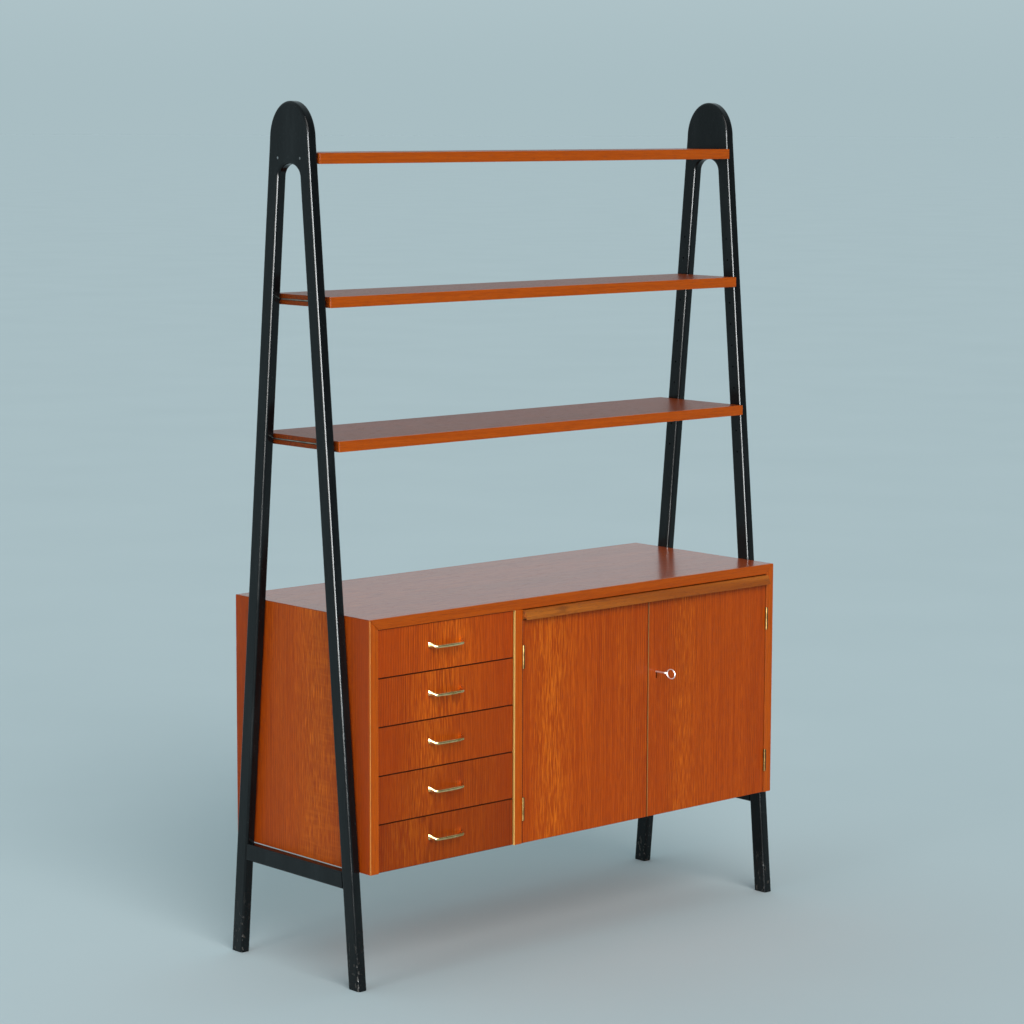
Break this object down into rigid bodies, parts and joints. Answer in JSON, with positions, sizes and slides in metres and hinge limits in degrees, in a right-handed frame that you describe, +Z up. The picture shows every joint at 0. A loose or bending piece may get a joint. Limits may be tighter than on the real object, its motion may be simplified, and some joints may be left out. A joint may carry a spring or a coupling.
{
  "type": "bookcase with adjustable shelves",
  "caption": "Teak bookcase between two black A-frames, with open adjustable shelves above a case of drawers, hinged doors and a pull-out writing leaf.",
  "frame": {"origin": "on the floor, midway along the case, and midway between the tip of the key's bow and the back of the case", "axes": "+X along the case, from the drawers to the doors; +Y from the front to the back; +Z up"},
  "size_m": [1.225, 0.502, 1.796],
  "materials": {
    "teak": "satin lacquer",
    "pale_teak": "satin lacquer",
    "beech": "bare, planed",
    "plywood": "bare, sanded",
    "black_lacquer": "semi-gloss black lacquer",
    "brass": "polished, slightly dulled",
    "steel": "nickel plated"
  },
  "bodies": {
    "case_and_frames": {"left_front_leg": "black_lacquer", "left_rear_leg": "black_lacquer", "left_frame_head": "black_lacquer", "left_cross_rail": "black_lacquer", "right_front_leg": "black_lacquer", "right_rear_leg": "black_lacquer", "right_frame_head": "black_lacquer", "right_cross_rail": "black_lacquer", "top_shelf": "teak", "case_top": "teak", "case_left_side": "teak", "case_right_side": "teak", "case_bottom": "teak", "case_partition": "teak", "case_back": "plywood", "upper_left_shelf_wire": "steel", "upper_right_shelf_wire": "steel", "lower_left_shelf_wire": "steel", "lower_right_shelf_wire": "steel", "left_leaf_runner": "beech", "left_case_lower_hinge_leaf": "brass", "left_case_upper_hinge_leaf": "brass", "right_leaf_runner": "beech", "right_case_lower_hinge_leaf": "brass", "right_case_upper_hinge_leaf": "brass"},
    "drawer_1": {"drawer_1_front": "teak", "drawer_1_box": "beech", "drawer_1_floor": "plywood", "drawer_1_pull": "brass"},
    "drawer_2": {"drawer_2_front": "teak", "drawer_2_box": "beech", "drawer_2_floor": "plywood", "drawer_2_pull": "brass"},
    "drawer_3": {"drawer_3_front": "teak", "drawer_3_box": "beech", "drawer_3_floor": "plywood", "drawer_3_pull": "brass"},
    "drawer_4": {"drawer_4_front": "teak", "drawer_4_box": "beech", "drawer_4_floor": "plywood", "drawer_4_pull": "brass"},
    "drawer_5": {"drawer_5_front": "teak", "drawer_5_box": "beech", "drawer_5_floor": "plywood", "drawer_5_pull": "brass"},
    "writing_leaf": {"leaf_board": "teak", "leaf_grip": "pale_teak"},
    "left_door": {"left_door": "teak", "left_door_lower_hinge_leaf": "brass", "left_door_upper_hinge_leaf": "brass", "lock_strike": "steel"},
    "right_door": {"right_door": "teak", "right_door_lower_hinge_leaf": "brass", "right_door_upper_hinge_leaf": "brass", "lock_case": "steel"},
    "key": {"key": "steel"},
    "lock_bolt": {"lock_bolt": "steel"},
    "upper_shelf": {"upper_shelf": "teak"},
    "lower_shelf": {"lower_shelf": "teak"},
    "inner_shelf": {"inner_shelf": "teak"}
  },
  "joints": [
    {"name": "drawer_1_slide", "type": "slide", "parent": "case_and_frames", "child": "drawer_1", "axis": [0, -1, 0], "range_m": [0, 0.28]},
    {"name": "drawer_2_slide", "type": "slide", "parent": "case_and_frames", "child": "drawer_2", "axis": [0, -1, 0], "range_m": [0, 0.28]},
    {"name": "drawer_3_slide", "type": "slide", "parent": "case_and_frames", "child": "drawer_3", "axis": [0, -1, 0], "range_m": [0, 0.28]},
    {"name": "drawer_4_slide", "type": "slide", "parent": "case_and_frames", "child": "drawer_4", "axis": [0, -1, 0], "range_m": [0, 0.28]},
    {"name": "drawer_5_slide", "type": "slide", "parent": "case_and_frames", "child": "drawer_5", "axis": [0, -1, 0], "range_m": [0, 0.28]},
    {"name": "writing_leaf_slide", "type": "slide", "parent": "case_and_frames", "child": "writing_leaf", "axis": [0, -1, 0], "range_m": [0, 0.25]},
    {"name": "left_door_hinge", "type": "hinge", "parent": "case_and_frames", "child": "left_door", "pos_m": [-0.17525, -0.196, 0.48], "axis": [0, 0, -1], "range_deg": [0, 90]},
    {"name": "right_door_hinge", "type": "hinge", "parent": "case_and_frames", "child": "right_door", "pos_m": [0.56725, -0.196, 0.48], "axis": [0, 0, 1], "range_deg": [0, 90]},
    {"name": "key_turn", "type": "hinge", "parent": "right_door", "child": "key", "pos_m": [0.221, -0.1925, 0.563], "axis": [0, -1, 0], "range_deg": [0, 90]},
    {"name": "lock_bolt_slide", "type": "slide", "parent": "right_door", "child": "lock_bolt", "axis": [-1, 0, 0], "range_m": [0, 0.0081]},
    {"name": "upper_shelf_slide", "type": "slide", "parent": "case_and_frames", "child": "upper_shelf", "axis": [0, -1, 0], "range_m": [0, 0.165]},
    {"name": "lower_shelf_slide", "type": "slide", "parent": "case_and_frames", "child": "lower_shelf", "axis": [0, -1, 0], "range_m": [0, 0.23]},
    {"name": "inner_shelf_lift", "type": "slide", "parent": "case_and_frames", "child": "inner_shelf", "axis": [0, 0, 1], "range_m": [0, 0.06]}
  ],
  "couplings": [
    {"joint": "lock_bolt_slide", "follows": "key_turn", "m_per_rad": 0.005093}
  ]
}
